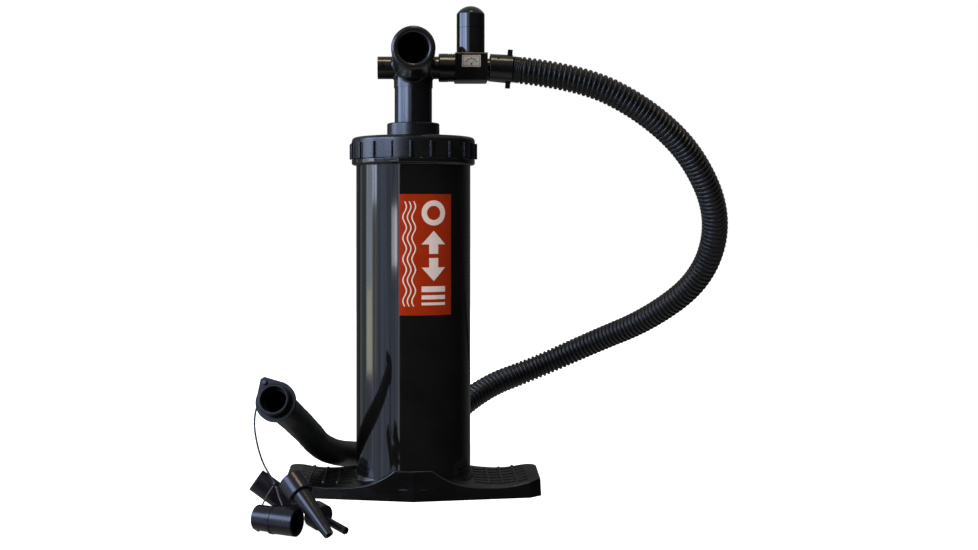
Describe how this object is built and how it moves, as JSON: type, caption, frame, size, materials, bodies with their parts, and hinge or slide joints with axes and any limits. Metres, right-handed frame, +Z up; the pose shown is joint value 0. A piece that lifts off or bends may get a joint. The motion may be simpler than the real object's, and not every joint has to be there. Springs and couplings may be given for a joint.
{
  "type": "double action hand pump",
  "caption": "Double action hand pump: cylinder on a winged foot, T handle with intake port, relief valve and ribbed hose ending in a smooth pipe with tethered valve adapters.",
  "frame": {"origin": "on the floor under the foot, on the axis of the barrel", "axes": "+Z up along the barrel's axis, +X towards the hose outlet and along the foot's wings, +Y along the handle's grips towards the back"},
  "size_m": [0.4789, 0.4218, 0.481],
  "materials": {
    "gloss_black": "polished moulded black plastic",
    "cap_black": "semi-gloss moulded black plastic",
    "inner_plastic": "natural grey moulded plastic",
    "seal_rubber": "smooth black rubber",
    "steel": "zinc plated steel",
    "brass": "turned brass",
    "label_orange": "printed film, orange red with a plain white pattern",
    "sticker_grey": "pale grey film with a plain mark",
    "hose_black": "ribbed flexible black plastic",
    "pipe_black": "satin black plastic",
    "strap_pale": "thin moulded strap, edge pale",
    "adapter_black": "satin black moulded plastic"
  },
  "bodies": {
    "pump_body": {"foot": "gloss_black", "barrel": "gloss_black", "barrel_plug": "inner_plastic", "plug_ring": "seal_rubber", "foot_screws": "steel", "bottom_bumper": "seal_rubber", "barrel_gasket": "seal_rubber", "barrel_label": "label_orange"},
    "cap": {"screw_cap": "cap_black", "top_bumper": "seal_rubber"},
    "guide": {"rod_guide": "inner_plastic", "rod_seal": "seal_rubber"},
    "pump_handle": {"rod_tube": "gloss_black", "air_tube": "inner_plastic", "piston_lower": "inner_plastic", "piston_upper": "inner_plastic", "piston_screws": "steel", "piston_seal": "seal_rubber", "rod_nut": "inner_plastic", "valve_rings": "inner_plastic", "handle": "gloss_black", "port_collar": "gloss_black", "relief_block": "gloss_black", "relief_housing": "gloss_black", "relief_cap": "gloss_black", "relief_seat": "brass", "relief_spring": "steel", "relief_sticker": "sticker_grey", "hose_cuff": "gloss_black", "hose": "hose_black", "tail_sleeve": "hose_black", "hose_tail": "pipe_black", "hose_socket": "pipe_black", "strap_ring": "pipe_black", "tether_knot": "pipe_black", "tether": "pipe_black", "tether_bead": "pipe_black", "adapter_straps": "strap_pale", "adapter_plain": "adapter_black", "adapter_sleeve": "adapter_black", "adapter_cone": "adapter_black", "adapter_needle": "adapter_black"},
    "relief_valve": {"relief_poppet": "seal_rubber"},
    "intake_valve_low": {"intake_disc_low": "seal_rubber"},
    "intake_valve_high": {"intake_disc_high": "seal_rubber"},
    "outlet_valve_low": {"outlet_disc_low": "seal_rubber"},
    "outlet_valve_high": {"outlet_disc_high": "seal_rubber"}
  },
  "joints": [
    {"name": "cap_turn", "type": "hinge", "parent": "pump_body", "child": "cap", "pos_m": [0, 0, 0.3386], "axis": [0, 0, 1], "range_deg": [0, 60]},
    {"name": "handle_twist", "type": "hinge", "parent": "pump_body", "child": "guide", "pos_m": [0, 0, 0.35], "axis": [0, 0, 1], "range_deg": [-60, 0]},
    {"name": "stroke", "type": "slide", "parent": "guide", "child": "pump_handle", "axis": [0, 0, 1], "range_m": [0, 0.285]},
    {"name": "relief_lift", "type": "slide", "parent": "pump_handle", "child": "relief_valve", "axis": [0, 0, 1], "range_m": [0, 0.003], "stiffness_N_per_m": 800, "springref_m": -0.006, "deforming": ["relief_spring"]},
    {"name": "intake_low_drop", "type": "slide", "parent": "pump_handle", "child": "intake_valve_low", "axis": [0, 0, -1], "range_m": [0, 0.0012]},
    {"name": "intake_high_lift", "type": "slide", "parent": "pump_handle", "child": "intake_valve_high", "axis": [0, 0, 1], "range_m": [0, 0.0012]},
    {"name": "outlet_low_lift", "type": "slide", "parent": "pump_handle", "child": "outlet_valve_low", "axis": [0, 0, 1], "range_m": [0, 0.0012]},
    {"name": "outlet_high_drop", "type": "slide", "parent": "pump_handle", "child": "outlet_valve_high", "axis": [0, 0, -1], "range_m": [0, 0.0012]}
  ]
}
